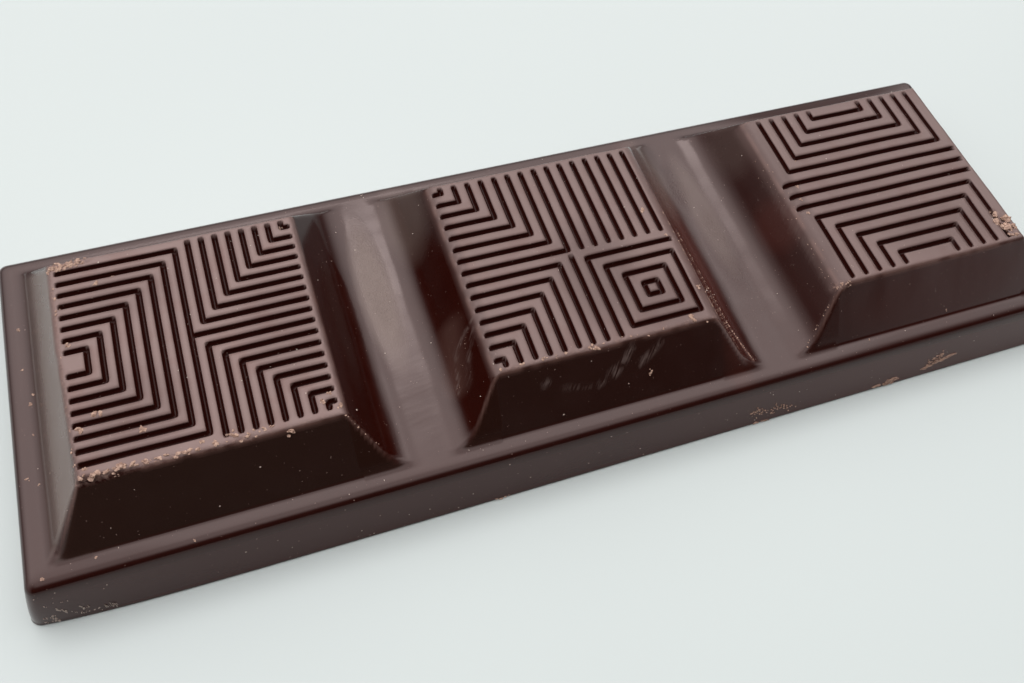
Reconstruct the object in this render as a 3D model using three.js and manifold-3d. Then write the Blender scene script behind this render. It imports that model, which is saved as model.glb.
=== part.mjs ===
// A small bar of dark chocolate: a slab with three raised blocks, each with its own pattern of grooves.
// Millimetres, +X along the bar, +Y across it, +Z up, origin at the middle of the flat underside.

import * as THREE from 'three';
import { mergeVertices } from 'three/addons/utils/BufferGeometryUtils.js';
import Module from 'manifold-3d';

// Slab
const BAR_LENGTH = 100.8;
const BAR_WIDTH = 34.2;
const LEDGE_HEIGHT = 5.3;
const SLAB_LEAN = 1.65;          // how far the side walls lean in between the underside and the ledge
const SLAB_CORNER_RADIUS = 1.6;
const SLAB_EDGE_RADIUS = 1;      // rounding between the side walls and the ledge

// Blocks
const BAR_HEIGHT = 10.35;
const BLOCK_SPACING = 33.1;
const BLOCK_TOP_LENGTH = 20.4;
const BLOCK_TOP_WIDTH = 20.3;
const LONG_WALL_RUN = 3.72;      // how far a block's front and back walls lean out down to the ledge
const END_WALL_RUN = 3.3;        // the same for its two end walls
const CHANNEL_FOOT_RADIUS = 3.8; // hollow curve at the foot of a wall beside a channel
const OUTER_FOOT_RADIUS = 1.5;   // and at the foot of the two walls at the ends of the bar
const WALL_FOOT_DEPTH = 1.5;     // how far a block reaches down into the slab

// Grooves
const GROOVE_WIDTH = 0.52;       // at the block's top
const GROOVE_FLOOR = 0.24;
const GROOVE_DEPTH = 0.55;
const GROOVE_OVERSHOOT = 0.1;    // how far the cutters stand above the block
const SHORTEST_ARM = 0.36;       // shortest arm of a right angle, in distances between two grooves

const CURVE_STEPS = 9;
const CORNER_STEPS = 8;
const GROOVE_END_STEPS = 6;

const CHOCOLATE = new THREE.MeshStandardMaterial({ color: 0x3d2620, roughness: 0.42, metalness: 0 });

const wasm = await Module();
wasm.setup();

function toSolid(geometry) {
  geometry.deleteAttribute('normal');
  geometry.deleteAttribute('uv');
  const merged = mergeVertices(geometry, 1e-5);
  const vertProperties = new Float32Array(merged.attributes.position.array);
  const triVerts = new Uint32Array(merged.index.array);
  return new wasm.Manifold(new wasm.Mesh({ numProp: 3, vertProperties, triVerts }));
}

function toGeometry(solid) {
  const { vertProperties, triVerts } = solid.getMesh();
  const geometry = new THREE.BufferGeometry();
  geometry.setAttribute('position', new THREE.BufferAttribute(vertProperties, 3));
  geometry.setIndex(new THREE.BufferAttribute(triVerts, 1));
  geometry.computeVertexNormals();
  return geometry;
}

function joinAll(solids) {
  while (solids.length > 1) {
    const pairs = [];
    for (let i = 0; i < solids.length; i += 2) {
      pairs.push(i + 1 < solids.length ? solids[i].add(solids[i + 1]) : solids[i]);
    }
    solids = pairs;
  }
  return solids[0];
}

function roundedRectangle(length, width, radius) {
  const shape = new THREE.Shape();
  const x = length / 2 - radius;
  const y = width / 2 - radius;
  shape.absarc(x, y, radius, 0, Math.PI / 2);
  shape.absarc(-x, y, radius, Math.PI / 2, Math.PI);
  shape.absarc(-x, -y, radius, Math.PI, Math.PI * 1.5);
  shape.absarc(x, -y, radius, Math.PI * 1.5, Math.PI * 2);
  shape.closePath();
  return shape;
}

// Heights of the slab's levels and how far each is drawn in from the underside's outline.
function slabLevels() {
  const lean = Math.atan2(SLAB_LEAN, LEDGE_HEIGHT);
  const levels = [{ height: 0, inset: 0 }];
  const centreHeight = LEDGE_HEIGHT - SLAB_EDGE_RADIUS;
  const wallInset = centreHeight * Math.tan(lean);
  const centreInset = wallInset + SLAB_EDGE_RADIUS / Math.cos(lean);
  for (let i = 0; i < CURVE_STEPS; i++) {
    const angle = lean + (Math.PI / 2 - lean) * i / (CURVE_STEPS - 1);
    levels.push({
      height: centreHeight + SLAB_EDGE_RADIUS * Math.sin(angle),
      inset: centreInset - SLAB_EDGE_RADIUS * Math.cos(angle),
    });
  }
  return levels;
}

function makeSlab() {
  const levels = slabLevels();
  const steps = levels.length - 1;
  const geometry = new THREE.ExtrudeGeometry(
    roundedRectangle(BAR_LENGTH, BAR_WIDTH, SLAB_CORNER_RADIUS),
    { depth: steps, steps, bevelEnabled: false, curveSegments: CORNER_STEPS },
  );
  const points = geometry.attributes.position;
  for (let i = 0; i < points.count; i++) {
    const level = levels[Math.round(points.getZ(i))];
    points.setXYZ(
      i,
      points.getX(i) * (1 - level.inset / (BAR_LENGTH / 2)),
      points.getY(i) * (1 - level.inset / (BAR_WIDTH / 2)),
      level.height,
    );
  }
  return toSolid(geometry);
}

// Points down one end wall of a block, from its top edge to where its hollow foot meets the ledge.
function endWallPoints(footRadius) {
  const rise = BAR_HEIGHT - LEDGE_HEIGHT;
  const lean = Math.atan2(END_WALL_RUN, rise);
  const toFoot = footRadius * Math.tan((Math.PI / 2 - lean) / 2);
  const centre = new THREE.Vector2(
    BLOCK_TOP_LENGTH / 2 + END_WALL_RUN + toFoot,
    LEDGE_HEIGHT + footRadius,
  );
  const points = [new THREE.Vector2(BLOCK_TOP_LENGTH / 2, BAR_HEIGHT)];
  for (let i = 0; i < CURVE_STEPS; i++) {
    const angle = lean + (Math.PI / 2 - lean) * i / (CURVE_STEPS - 1);
    points.push(new THREE.Vector2(
      centre.x - footRadius * Math.cos(angle),
      centre.y - footRadius * Math.sin(angle),
    ));
  }
  return points;
}

// The block seen from the front: its two end walls, each with its own foot.
function lengthwiseOutline(leftFoot, rightFoot) {
  const foot = LEDGE_HEIGHT - WALL_FOOT_DEPTH;
  const right = endWallPoints(rightFoot);
  const left = endWallPoints(leftFoot).map((p) => new THREE.Vector2(-p.x, p.y)).reverse();
  return new THREE.Shape([
    new THREE.Vector2(left[0].x, foot),
    new THREE.Vector2(right[right.length - 1].x, foot),
    ...right.reverse(),
    ...left.reverse(),
  ]);
}

// The block seen from the end: flat front and back walls.
function crosswiseOutline() {
  const rise = BAR_HEIGHT - LEDGE_HEIGHT;
  const foot = LEDGE_HEIGHT - WALL_FOOT_DEPTH;
  const footHalf = BLOCK_TOP_WIDTH / 2 + LONG_WALL_RUN * (rise + WALL_FOOT_DEPTH) / rise;
  return new THREE.Shape([
    new THREE.Vector2(-footHalf, foot),
    new THREE.Vector2(footHalf, foot),
    new THREE.Vector2(BLOCK_TOP_WIDTH / 2, BAR_HEIGHT),
    new THREE.Vector2(-BLOCK_TOP_WIDTH / 2, BAR_HEIGHT),
  ]);
}

function makeBlock(leftFoot, rightFoot) {
  const flat = (depth) => ({ depth, bevelEnabled: false });
  const lengthwise = new THREE.ExtrudeGeometry(lengthwiseOutline(leftFoot, rightFoot), flat(BAR_WIDTH));
  lengthwise.translate(0, 0, -BAR_WIDTH / 2);
  lengthwise.rotateX(Math.PI / 2);
  const reach = BLOCK_SPACING * 1.2;
  const crosswise = new THREE.ExtrudeGeometry(crosswiseOutline(), flat(reach));
  crosswise.translate(0, 0, -reach / 2);
  crosswise.rotateX(Math.PI / 2);
  crosswise.rotateZ(Math.PI / 2);
  return toSolid(lengthwise).intersect(toSolid(crosswise));
}

// Unit steps sideways from each point of a line: square to it, or mitred where it turns.
function sideSteps(points, closed) {
  const count = points.length;
  const headings = [];
  for (let i = 0; i < (closed ? count : count - 1); i++) {
    headings.push(points[(i + 1) % count].clone().sub(points[i]).normalize());
  }
  return points.map((point, i) => {
    const before = closed ? headings[(i + count - 1) % count] : headings[Math.max(i - 1, 0)];
    const after = closed ? headings[i] : headings[Math.min(i, headings.length - 1)];
    const mitre = before.clone().add(after).normalize();
    const side = new THREE.Vector2(-mitre.y, mitre.x);
    return side.multiplyScalar(1 / mitre.dot(after));
  });
}

// Spokes of a rounded line end: its heading turned from the right side round to the left.
function endSpokes(centre, heading) {
  const spokes = [];
  for (let i = 0; i <= GROOVE_END_STEPS; i++) {
    const angle = Math.PI * (i / GROOVE_END_STEPS - 0.5);
    spokes.push({ from: centre, step: heading.clone().rotateAround(new THREE.Vector2(), angle) });
  }
  return spokes;
}

// The rim of an open line, as spokes from its middle line outwards, anticlockwise.
function openRim(points) {
  const sides = sideSteps(points, false);
  const last = points.length - 1;
  const startHeading = points[0].clone().sub(points[1]).normalize();
  const endHeading = points[last].clone().sub(points[last - 1]).normalize();
  const right = [];
  const left = [];
  for (let i = 1; i < last; i++) {
    right.push({ from: points[i], step: sides[i].clone().negate() });
    left.unshift({ from: points[i], step: sides[i] });
  }
  return [
    ...endSpokes(points[0], startHeading),
    ...right,
    ...endSpokes(points[last], endHeading),
    ...left,
  ];
}

function rimPoints(rim, halfWidth) {
  return rim.map(({ from, step }) => from.clone().addScaledVector(step, halfWidth));
}

// A groove cutter along a line on the block's top: flat floor, leaning walls, rounded ends.
function grooveCutter(points, closed) {
  const slope = (GROOVE_WIDTH - GROOVE_FLOOR) / 2 / GROOVE_DEPTH;
  const topHalf = GROOVE_WIDTH / 2 + slope * GROOVE_OVERSHOOT;
  const floorHalf = GROOVE_FLOOR / 2;
  let rims = [];
  if (closed) {
    const sides = sideSteps(points, true);
    const outer = points.map((from, i) => ({ from, step: sides[i].clone().negate() }));
    const inner = points.map((from, i) => ({ from, step: sides[i] }));
    rims = [outer, inner];
  } else {
    rims = [openRim(points)];
  }
  const shape = new THREE.Shape(rimPoints(rims[0], topHalf));
  for (const rim of rims.slice(1)) {
    shape.holes.push(new THREE.Path(rimPoints(rim, topHalf)));
  }
  const geometry = new THREE.ExtrudeGeometry(shape, { depth: 1, bevelEnabled: false });
  const topRing = rims.flatMap((rim) => rimPoints(rim, topHalf));
  const floorRing = rims.flatMap((rim) => rimPoints(rim, floorHalf));
  const vertices = geometry.attributes.position;
  for (let i = 0; i < vertices.count; i++) {
    const here = new THREE.Vector2(vertices.getX(i), vertices.getY(i));
    if (vertices.getZ(i) > 0.5) {
      vertices.setZ(i, BAR_HEIGHT + GROOVE_OVERSHOOT);
    } else {
      const match = topRing.findIndex((point) => point.distanceTo(here) < 1e-4);
      vertices.setXYZ(i, floorRing[match].x, floorRing[match].y, BAR_HEIGHT - GROOVE_DEPTH);
    }
  }
  return toSolid(geometry);
}

// Lines of the first block: four corners of nested right angles round a middle line.
function firstPattern() {
  const left = -8.34;
  const right = 8.44;
  const top = 8.49;
  const bottom = -8.44;
  const lines = [[[0.16, 0], [right, 0]]];
  for (let m = 1; m <= 8; m++) {
    lines.push([[left, m], [m - 8, m], [m - 8, -m], [left, -m]]);
    lines.push([[m, top], [m, m], [right, m]]);
    lines.push([[right, -m], [m, -m], [m, bottom]]);
  }
  return lines;
}

// Lines of the second block: right angles on the left, uprights and nested squares on the right.
function secondPattern() {
  const left = -7.47;
  const right = 7.32;
  const top = 7.32;
  const bottom = -7.42;
  const lines = [
    [[0, -0.63], [0, bottom]],
    [[right, -1], [1, -1], [1, bottom]],
  ];
  for (let m = 0; m <= 7; m++) {
    lines.push([[left, m], [-m, m], [-m, Math.max(top, m + SHORTEST_ARM)]]);
  }
  for (let m = 1; m <= 7; m++) {
    lines.push([[m, top], [m, -0.02]]);
    lines.push([[left, -m], [-m, -m], [-m, bottom]]);
  }
  for (let inset = 0; inset < 3; inset++) {
    const near = 2 + inset;
    const far = 7 - inset;
    lines.push([[near, -near], [near, -far], [far, -far], [far, -near], [near, -near]]);
  }
  return lines;
}

// Lines of the third block: nested open boxes above and below three lines across the middle.
function thirdPattern() {
  const left = -6.74;
  const right = 6.59;
  const top = 6.59;
  const bottom = -6.79;
  const lines = [];
  for (let k = -1; k <= 1; k++) {
    lines.push([[left, k], [right, k]]);
  }
  for (let m = 2; m <= 6; m++) {
    lines.push([[-m, top], [-m, 8 - m], [m, 8 - m], [m, top]]);
    lines.push([[-m, bottom], [-m, m - 8], [m, m - 8], [m, bottom]]);
  }
  return lines;
}

// Where each block stands, the middle of its pattern, and the distance between two grooves.
const BLOCKS = [
  { x: -BLOCK_SPACING, patternY: 0.12, pitchX: 1.15, pitchY: 1.123, lines: firstPattern(),
    leftFoot: OUTER_FOOT_RADIUS, rightFoot: CHANNEL_FOOT_RADIUS },
  { x: 0, patternY: 0.05, pitchX: 1.312, pitchY: 1.298, lines: secondPattern(),
    leftFoot: CHANNEL_FOOT_RADIUS, rightFoot: CHANNEL_FOOT_RADIUS },
  { x: BLOCK_SPACING, patternY: 0.16, pitchX: 1.457, pitchY: 1.442, lines: thirdPattern(),
    leftFoot: CHANNEL_FOOT_RADIUS, rightFoot: OUTER_FOOT_RADIUS },
];

function makeGrooves({ x, patternY, pitchX, pitchY, lines }) {
  const place = ([j, k]) => new THREE.Vector2(x + j * pitchX, patternY + k * pitchY);
  const cutters = lines.map((line) => {
    const points = line.map(place);
    const closed = points.length > 2 && points[0].distanceTo(points[points.length - 1]) < 1e-6;
    if (closed) {
      points.pop();
    }
    return grooveCutter(points, closed);
  });
  return joinAll(cutters);
}

function makeBar() {
  let bar = makeSlab();
  for (const block of BLOCKS) {
    const raised = makeBlock(block.leftFoot, block.rightFoot).translate([block.x, 0, 0]);
    bar = bar.add(raised.subtract(makeGrooves(block)));
  }
  return bar;
}

const bar = new THREE.Mesh(toGeometry(makeBar()), CHOCOLATE);
bar.name = 'bar';

const group = new THREE.Group();
group.add(bar);

export default group;
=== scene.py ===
"""A small bar of dark chocolate on a pale table: a slab with three grooved blocks, worn at some edges."""
import math

import bmesh
import bpy
import numpy as np
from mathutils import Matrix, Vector


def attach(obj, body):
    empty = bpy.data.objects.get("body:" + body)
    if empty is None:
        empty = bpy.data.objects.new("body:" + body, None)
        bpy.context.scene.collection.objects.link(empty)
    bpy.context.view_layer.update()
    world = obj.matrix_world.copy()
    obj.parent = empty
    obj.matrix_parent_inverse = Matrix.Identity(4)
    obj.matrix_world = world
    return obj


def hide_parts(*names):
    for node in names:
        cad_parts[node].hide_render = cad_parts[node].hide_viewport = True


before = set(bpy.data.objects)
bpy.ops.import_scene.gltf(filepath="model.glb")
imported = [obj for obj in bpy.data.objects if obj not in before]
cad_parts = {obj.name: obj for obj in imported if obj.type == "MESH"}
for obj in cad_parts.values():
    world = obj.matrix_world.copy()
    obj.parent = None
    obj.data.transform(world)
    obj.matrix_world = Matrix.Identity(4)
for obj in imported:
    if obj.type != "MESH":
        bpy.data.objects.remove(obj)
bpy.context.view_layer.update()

MM = 0.001

# Slab and blocks, in millimetres, as in the part's source
BAR_LENGTH = 100.8
BAR_WIDTH = 34.2
BAR_HEIGHT = 10.35
LEDGE_HEIGHT = 5.3
SLAB_LEAN = 1.65
SLAB_CORNER_RADIUS = 1.6
SLAB_EDGE_RADIUS = 1.0
BLOCK_SPACING = 33.1
BLOCK_TOP_LENGTH = 20.4
BLOCK_TOP_WIDTH = 20.3
LONG_WALL_RUN = 3.72
END_WALL_RUN = 3.3
CHANNEL_FOOT_RADIUS = 3.8
OUTER_FOOT_RADIUS = 1.5
GROOVE_WIDTH = 0.52
GROOVE_FLOOR = 0.24
GROOVE_DEPTH = 0.55
SHORTEST_ARM = 0.36

# Softness of the cast form
LONG_EDGE_ROUNDING = 0.22
RIDGE_ROUNDING = 0.4
WORN_RIDGE_ROUNDING = 1.4
FRONT_FOOT_ROUNDING = 0.05
BACK_FOOT_ROUNDING = 0.3
LIP_ROUNDING = 0.03
UNDERSIDE_ROUNDING = 0.25

# How far the first block's front and left top edges are worn back at the corner between them
FRONT_LOSS = 0.38
LEFT_LOSS = 0.45
# How far the foot of the slab's front left corner is worn back, how far along the wall that reaches, and
# how much of it goes along X and along Y
CORNER_LOSS = 0.75
CORNER_REACH = 6.0
CORNER_LOSS_HEADING = (0.5, 0.97)

# Share of the slab's corner radius that is gone at its foot, and at the inner edge of its ledge
FOOT_CORNER_SHARPNESS = 0.5
INNER_CORNER_SHARPNESS = 0.95
# Height of the slow and the quick waves in the top surface
SLOW_WAVE_HEIGHT = 0.02
QUICK_WAVE_HEIGHT = 0.006

# Mesh spacing
FINE_GAP = 0.14
FACE_GAP = 0.3
CHANNEL_GAP = 0.3
WALL_GAP = 0.6
END_GAP = 0.2
RIM_GAP = 0.16
INNER_INSET = 2.8
# Distances from a block's middle: where the groove lines end, where the fine mesh of its rim starts beside
# them and in the plain strips, and where its front and back walls end
GROOVES_END = 9.6
RIM_START = 9.2
PLAIN_RIM_START = 9.0
WALLS_END = 14.1
# How far the finely meshed strip goes past a block's top, and the seam beside it
STRIP_MARGIN = 0.3
STRIP_SEAM = 0.1
# Steps round the slab's corner, round its lower edge, up its wall and over its upper edge
CORNER_STEPS = 6
UNDERSIDE_STEPS = 4
WALL_STEPS = 10
EDGE_STEPS = 8

# Camera: sensor and lens in millimetres, place in millimetres and turn in degrees
CAMERA_SENSOR = 36
CAMERA_LENS = 32.127
CAMERA_PLACE = (-25.963, -42.789, 76.251)
CAMERA_TURN = (30.5775, -4.8641, -18.8996)

# Light, as radiance
LOW_LIGHT = 0.4
DOME_LIGHT = 3.3
OVERHEAD_SHARE = 0.65
RIGHT_LIGHT = 0.95
LEFT_LIGHT = 0.5
# Soft lights behind the bar: azimuth, elevation, width and height in degrees, and radiance over the dome's
SOFTBOXES = [
    (92, 58.0, 24.0, 15.0, 2.0),
    (92, 55.0, 29.0, 9.0, 1.9),
    (40, 46.5, 12.0, 8.0, 1.1),
]
SOFTBOX_DISTANCE = 0.6

# Colours
DEEP_CHOCOLATE = (0.0118, 0.0010, 0.0004)
WARM_CHOCOLATE = (0.0162, 0.0020, 0.0009)
# Painted reflection on the blocks' front walls: a greyer brown in place of their reflection of the space in
# front
FRONT_WALL_PAINTED_REFLECTION = (0.0155, 0.0062, 0.0042)
FACE_BLOOM = (0.122, 0.077, 0.07)
FACE_WARM = (0.085, 0.036, 0.029)
SHEEN_TINT = (1.0, 0.82, 0.79)
# Pale dust at the dusty spots, and a painted reflection of the table on the first block's left wall
DUST_AND_PAINTED_REFLECTION = (0.108, 0.078, 0.067)
RUBBED = (0.075, 0.038, 0.031)
WARM_WALL = (0.042, 0.008, 0.005)
# Painted reflection on the slab's side walls: a paler brown in place of their reflection of the table,
# stronger toward the right
SIDE_PAINTED_REFLECTION = (0.056, 0.026, 0.024)
SCUFF = (0.085, 0.056, 0.05)
FLECK = (0.2, 0.14, 0.12)
WORN = (0.16, 0.095, 0.078)
CRUMB_DARK = (0.16, 0.083, 0.057)
CRUMB_PALE = (0.31, 0.19, 0.138)
SPECK_DARK = (0.2, 0.14, 0.12)
SPECK_PALE = (0.42, 0.34, 0.29)
TABLE_COOL = (0.36, 0.385, 0.382)
TABLE_PALE = (0.378, 0.404, 0.395)

# Worn stretches: two ends, half width, how deep the damage goes and how pale it is, in millimetres
WORN_STRETCHES = [
    ((-43.2, -10.05), (-30.0, -10.1), 0.24, 0.08, 0.9),
    ((-30.0, -10.1), (-22.9, -10.1), 0.16, 0.05, 0.6),
    ((-43.2, -10.0), (-43.2, 9.9), 0.22, 0.05, 0.6),
    ((-43.2, 9.8), (-40.0, 9.9), 0.4, 0.12, 0.8),
    ((-9.8, -10.05), (10.1, -10.05), 0.14, 0.04, 0.5),
    ((-1.9, -10.05), (-0.9, -10.05), 0.25, 0.1, 0.9),
    ((7.0, -10.05), (8.4, -10.0), 0.25, 0.12, 0.9),
    ((22.6, -10.0), (23.2, -10.2), 0.4, 0.1, 0.7),
    ((42.0, -6.8), (42.6, -9.2), 0.5, 0.2, 0.8),
]
# Scuffed stretches, pale but not deep
SCUFF_STRETCHES = [
    ((-1.3, -12.3), (0.4, -11.5), 0.35, 0.7),
    ((0.2, -11.9), (2.0, -10.7), 0.4, 1.0),
    ((2.6, -11.7), (4.7, -10.8), 0.35, 0.9),
    ((-6.3, -11.45), (-5.8, -11.35), 0.3, 0.9),
    ((-4.8, -11.9), (-2.2, -12.2), 0.25, 0.4),
    ((-10.4, -4.3), (-12.2, -5.6), 0.22, 0.8),
    ((-12.2, -5.6), (-13.0, -9.1), 0.22, 0.8),
    ((-10.6, -5.2), (-11.6, -7.2), 0.3, 0.5),
    ((-11.6, -7.2), (-12.2, -9.0), 0.3, 0.6),
    ((22.3, 3.0), (22.5, -9.5), 0.6, 0.2),
]
# Thin rubbed lines, in the same way
RUBBED_LINES = [
    ((10.5, 4.5), (10.75, -10.1), 0.24, 0.9),
    ((12.0, 4.2), (12.8, -9.0), 0.24, 1.0),
    ((12.8, -9.0), (13.9, -13.1), 0.24, 0.9),
    ((-12.1, -3.5), (-12.9, -8.5), 1.4, 0.35),
]
# Crumbs lying loose, a few together: place and size
CRUMBS_IN_SPOT = 5
CRUMB_SPOTS = [
    (-43.1, 9.7, 0.7), (-42.4, 9.7, 0.7), (-41.6, 9.9, 0.6), (-40.1, 9.0, 0.35), (-38.7, 7.9, 0.5),
    (-39.8, 7.4, 0.4), (-42.4, 1.9, 0.4), (-40.9, -5.0, 0.7), (-37.9, -7.2, 0.7), (-42.5, -5.9, 0.6),
    (-40.3, -10.2, 0.4), (-42.3, -9.3, 0.4), (-38.0, -9.9, 0.4), (-31.5, -9.4, 0.5), (-27.3, -10.5, 0.6),
    (-23.9, 9.3, 0.4), (-24.4, -8.8, 0.45), (-23.1, -9.4, 0.4), (-23.7, -8.0, 0.35), (8.3, 2.5, 0.5),
    (9.9, -6.7, 0.45), (-1.4, -10.0, 0.8), (7.9, -9.9, 0.6), (-9.8, -9.9, 0.4), (3.5, -12.3, 0.4),
    (-5.9, -10.0, 0.4), (-4.0, -10.0, 0.4), (1.3, -9.7, 0.35), (42.3, -8.1, 1.4), (42.6, -9.0, 1.1),
    (42.0, -6.9, 0.9), (41.8, -7.8, 1.1), (42.4, -9.6, 0.8), (22.8, -10.1, 0.4), (24.3, 1.2, 0.3),
    (23.8, -0.4, 0.3), (23.8, -2.0, 0.3), (25.7, 4.3, 0.3), (9.4, -0.7, 0.3),
    (-47.5, 8.0, 0.25), (-47.5, 3.9, 0.25),
    (-47.1, 0.4, 0.3), (-47.1, -2.5, 0.25), (-46.7, 1.1, 0.25), (-47.9, -6.3, 0.25), (-47.0, -7.0, 0.2),
    (-47.4, -14.8, 0.3), (-43.5, -14.2, 0.25), (-36.3, -15.1, 0.2), (26.0, -14.1, 0.2), (34.8, -13.5, 0.2),
]
# Rows of crumbs: two ends, how many, how far they stray and how large they are
CRUMB_ROWS = [
    ((-42.6, -9.75), (-38.2, -9.9), 22, 0.12, 0.42),
    ((-38.2, -9.95), (-34.0, -10.1), 14, 0.12, 0.36),
    ((-34.0, -9.7), (-28.0, -10.0), 22, 0.2, 0.34),
    ((-43.1, -9.8), (-43.0, 9.6), 16, 0.1, 0.2),
    ((-43.0, 9.7), (-40.5, 9.9), 34, 0.26, 0.42),
    ((-9.9, -10.0), (10.0, -10.1), 12, 0.1, 0.2),
    ((10.5, 2.4), (10.7, -9.6), 40, 0.05, 0.12),
    ((12.4, 2.0), (13.1, -9.0), 60, 0.06, 0.12),
    ((12.9, -9.0), (13.9, -13.1), 34, 0.06, 0.14),
    ((22.6, 6.0), (22.6, -9.6), 44, 0.3, 0.1),
    ((22.6, -10.2), (19.4, -13.4), 20, 0.05, 0.12),
    ((22.9, -10.0), (24.0, -10.2), 14, 0.2, 0.16),
    ((-22.9, -10.2), (-20.2, -12.8), 8, 0.05, 0.14),
    ((-11.0, -4.9), (-13.0, -9.0), 14, 0.06, 0.08),
]
# Scratched places on the front wall: two ends as x and height, stray, length, height and number of the flakes
WALL_SCRATCHES = [
    (32.6, 0.9, 36.2, 1.9, 0.04, 0.6, 0.18, 44), (33.0, 1.5, 34.6, 2.2, 0.25, 0.2, 0.16, 46),
    (27.1, 0.3, 27.9, 0.45, 0.05, 0.4, 0.2, 14), (28.3, 0.35, 29.7, 0.6, 0.12, 0.5, 0.26, 34),
    (14.0, 0.2, 15.6, 0.15, 0.05, 0.3, 0.12, 10), (-11.8, 0.2, -10.6, 0.2, 0.05, 0.25, 0.12, 6),
    (13.3, 1.7, 18.3, 1.2, 0.3, 0.14, 0.12, 60),
]
# Pale strokes on the same wall, in the same way
WALL_STROKES = [
    (-48.9, 1.0, -47.9, 1.1, 0.3, 0.14, 0.24, 20), (-47.6, 2.2, -47.0, 1.5, 0.15, 0.1, 0.5, 12),
    (-46.1, 1.6, -45.4, 1.4, 0.15, 0.1, 0.45, 10), (-44.4, 0.9, -43.3, 0.6, 0.2, 0.07, 0.6, 18),
    (-46.8, 0.9, -44.6, 0.7, 0.2, 0.1, 0.2, 14), (-48.6, 3.2, -46.5, 3.0, 0.2, 0.08, 0.2, 6),
]
SCRATCH_THICKNESS = 0.2
STROKE_THICKNESS = 0.07
# How many pale specks lie on the top and on the front wall, and how uneven a lump is
TOP_SPECKS = 130
WALL_SPECKS = 45
LUMP_RAGGEDNESS = 0.34
# How dull the left and the right wall of each channel are, by the channel's middle
CHANNEL_DULLNESS = {-BLOCK_SPACING / 2: (1.0, 1.0), BLOCK_SPACING / 2: (0.2, 0.55)}
# Dull, dusty places: middle, half lengths along x and y, and strength
HAZE_SPOTS = [
    (-17.0, 3.5, 2.0, 9.5, 0.8), (16.9, 4.0, 1.5, 9.0, 0.35), (-12.7, 10.0, 2.4, 6.0, 0.33),
    (13.0, 9.0, 2.0, 7.0, 0.35), (21.4, 9.5, 1.6, 4.5, 0.15),
]
# Places with less gloss, in the same way
DULL_SPOTS = [
    (36.0, -14.8, 18.0, 1.2, 0.4), (36.0, 14.8, 16.0, 1.2, 0.8), (34.0, -12.1, 14.0, 2.8, 0.3),
    (-44.0, -14.8, 8.0, 1.0, 0.3),
]
# Places on the faces with less pale powder, in the same way
BARE_SPOTS = [
    (1.5, -3.0, 5.0, 7.0, 1.0), (6.5, -7.5, 5.0, 4.0, 0.8), (-26.0, -1.0, 4.0, 7.0, 0.5),
    (30.0, -2.0, 6.0, 3.5, 0.2),
    (-37.0, 5.5, 5.0, 3.0, 0.4), (-38.0, -5.5, 5.0, 5.0, 0.6), (36.0, -7.0, 7.0, 3.5, 0.5),
    (23.2, 0.0, 1.4, 18.0, 1.2), (-10.0, 0.0, 0.9, 18.0, 1.0),
]
# Redder places, in the same way
WARM_SPOTS = [
    (12.2, 0.0, 2.6, 17.0, 0.85), (21.6, -1.3, 1.7, 3.6, 0.4), (34.0, -12.1, 14.0, 2.8, 0.25),
]
# Sandy places and finely rippled places, in the same way
GRAINY_SPOTS = [
    (-16.9, 4.5, 1.7, 8.5, 1.0), (15.6, 8.0, 1.2, 4.5, 0.8), (16.8, -1.0, 1.6, 7.0, 0.6),
]
RIPPLED_SPOTS = [
    (-16.2, -7.0, 3.0, 8.0, 1.0), (16.2, -7.0, 3.0, 8.0, 0.7),
]
# Places with soft reflections, in the same way
SOFT_SPOTS = [
    (16.6, 0.0, 4.5, 17.0, 1.0), (-16.5, -7.0, 4.0, 11.0, 0.7),
]


# ---------------------------------------------------------------- groove patterns

def first_pattern():
    left, right, top, bottom = -8.34, 8.44, 8.49, -8.44
    lines = [[(0.16, 0), (right, 0)]]
    for m in range(1, 9):
        lines.append([(left, m), (m - 8, m), (m - 8, -m), (left, -m)])
        lines.append([(m, top), (m, m), (right, m)])
        lines.append([(right, -m), (m, -m), (m, bottom)])
    return lines


def second_pattern():
    left, right, top, bottom = -7.47, 7.32, 7.32, -7.42
    lines = [[(0, -0.63), (0, bottom)], [(right, -1), (1, -1), (1, bottom)]]
    for m in range(8):
        lines.append([(left, m), (-m, m), (-m, max(top, m + SHORTEST_ARM))])
    for m in range(1, 8):
        lines.append([(m, top), (m, -0.02)])
        lines.append([(left, -m), (-m, -m), (-m, bottom)])
    for inset in range(3):
        near, far = 2 + inset, 7 - inset
        lines.append([(near, -near), (near, -far), (far, -far), (far, -near), (near, -near)])
    return lines


def third_pattern():
    left, right, top, bottom = -6.74, 6.59, 6.59, -6.79
    lines = [[(left, k), (right, k)] for k in (-1, 0, 1)]
    for m in range(2, 7):
        lines.append([(-m, top), (-m, 8 - m), (m, 8 - m), (m, top)])
        lines.append([(-m, bottom), (-m, m - 8), (m, m - 8), (m, bottom)])
    return lines


BLOCKS = [
    {"x": -BLOCK_SPACING, "pattern_y": 0.12, "pitch": (1.15, 1.123), "lines": first_pattern(),
     "feet": (OUTER_FOOT_RADIUS, CHANNEL_FOOT_RADIUS), "edges": (0.5, 0.55), "bloom": 1.0},
    {"x": 0.0, "pattern_y": 0.05, "pitch": (1.312, 1.298), "lines": second_pattern(),
     "feet": (CHANNEL_FOOT_RADIUS, CHANNEL_FOOT_RADIUS), "edges": (0.9, 1.3), "bloom": 0.78},
    {"x": BLOCK_SPACING, "pattern_y": 0.16, "pitch": (1.457, 1.442), "lines": third_pattern(),
     "feet": (CHANNEL_FOOT_RADIUS, OUTER_FOOT_RADIUS), "edges": (1.5, 0.5), "bloom": 0.72},
]


# ---------------------------------------------------------------- smooth noise

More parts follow.
